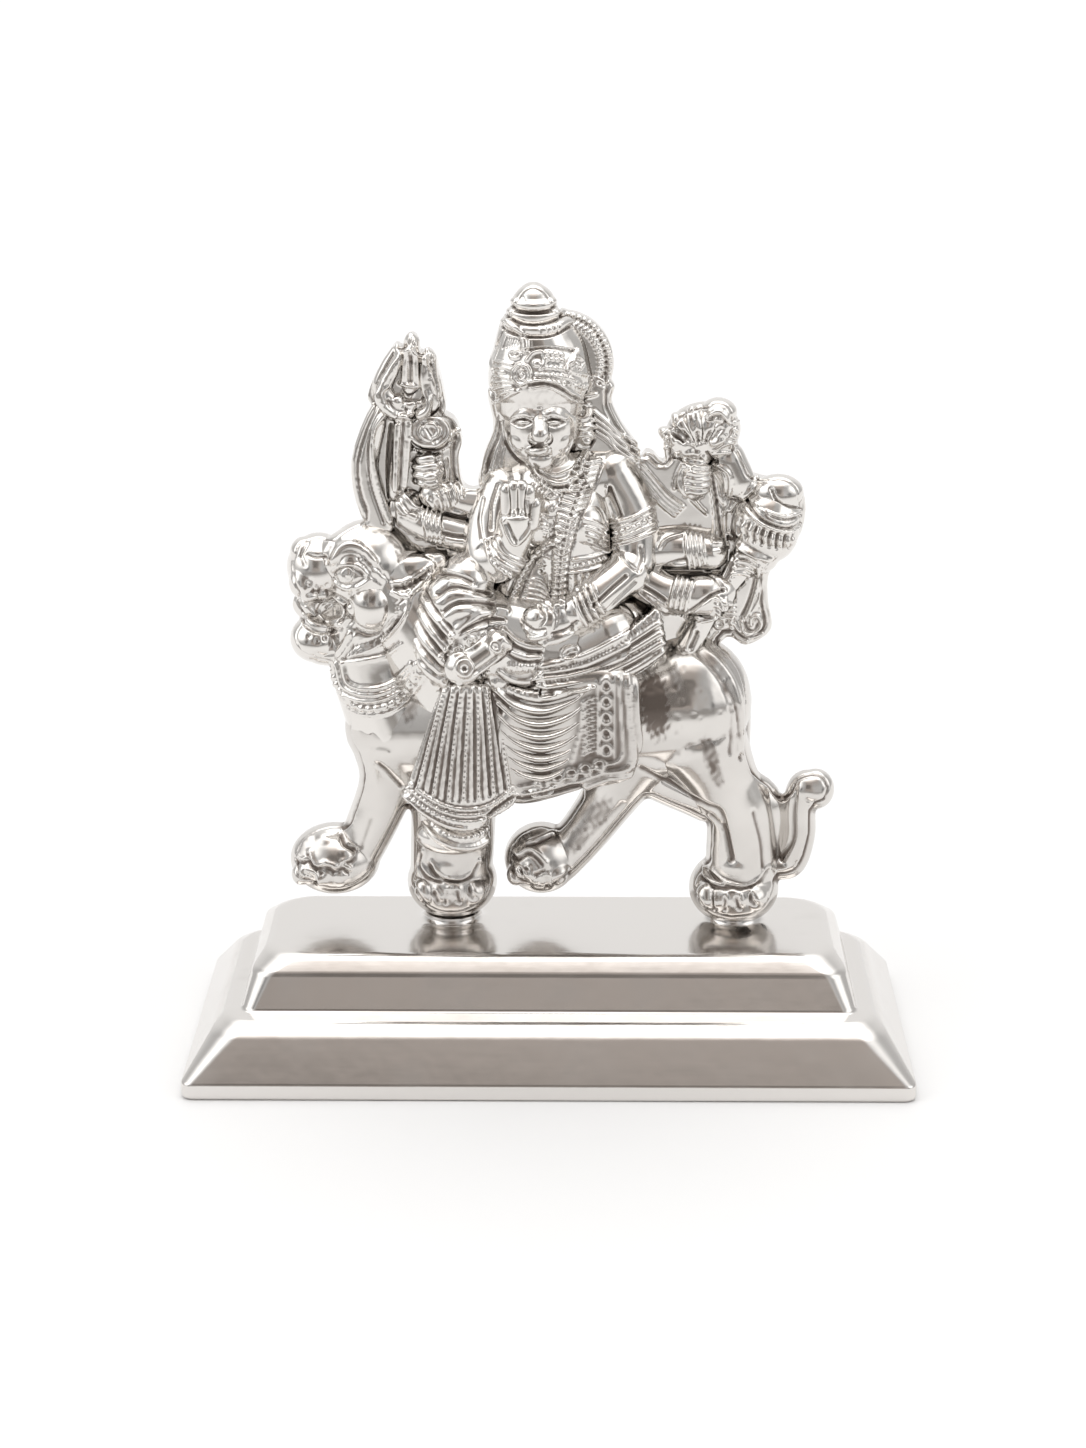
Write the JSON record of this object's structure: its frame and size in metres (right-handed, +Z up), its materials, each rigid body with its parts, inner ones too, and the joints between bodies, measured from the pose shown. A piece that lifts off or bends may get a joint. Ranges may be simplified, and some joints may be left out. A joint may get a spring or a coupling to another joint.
{
  "type": "durga figure",
  "caption": "Polished silver figure of a many-armed goddess riding a walking tiger, soldered by two paws to a stepped rectangular plinth.",
  "frame": {"origin": "centre of the plinth's flat underside", "axes": "+Z up, -Y towards the front of the figure, +X along the plinth towards the tiger's tail"},
  "size_m": [0.08, 0.0362, 0.0859],
  "materials": {
    "silver": "polished silver, lightly scratched"
  },
  "bodies": {
    "root": {"durga_on_tiger": "silver", "stepped_plinth": "silver"}
  },
  "joints": []
}
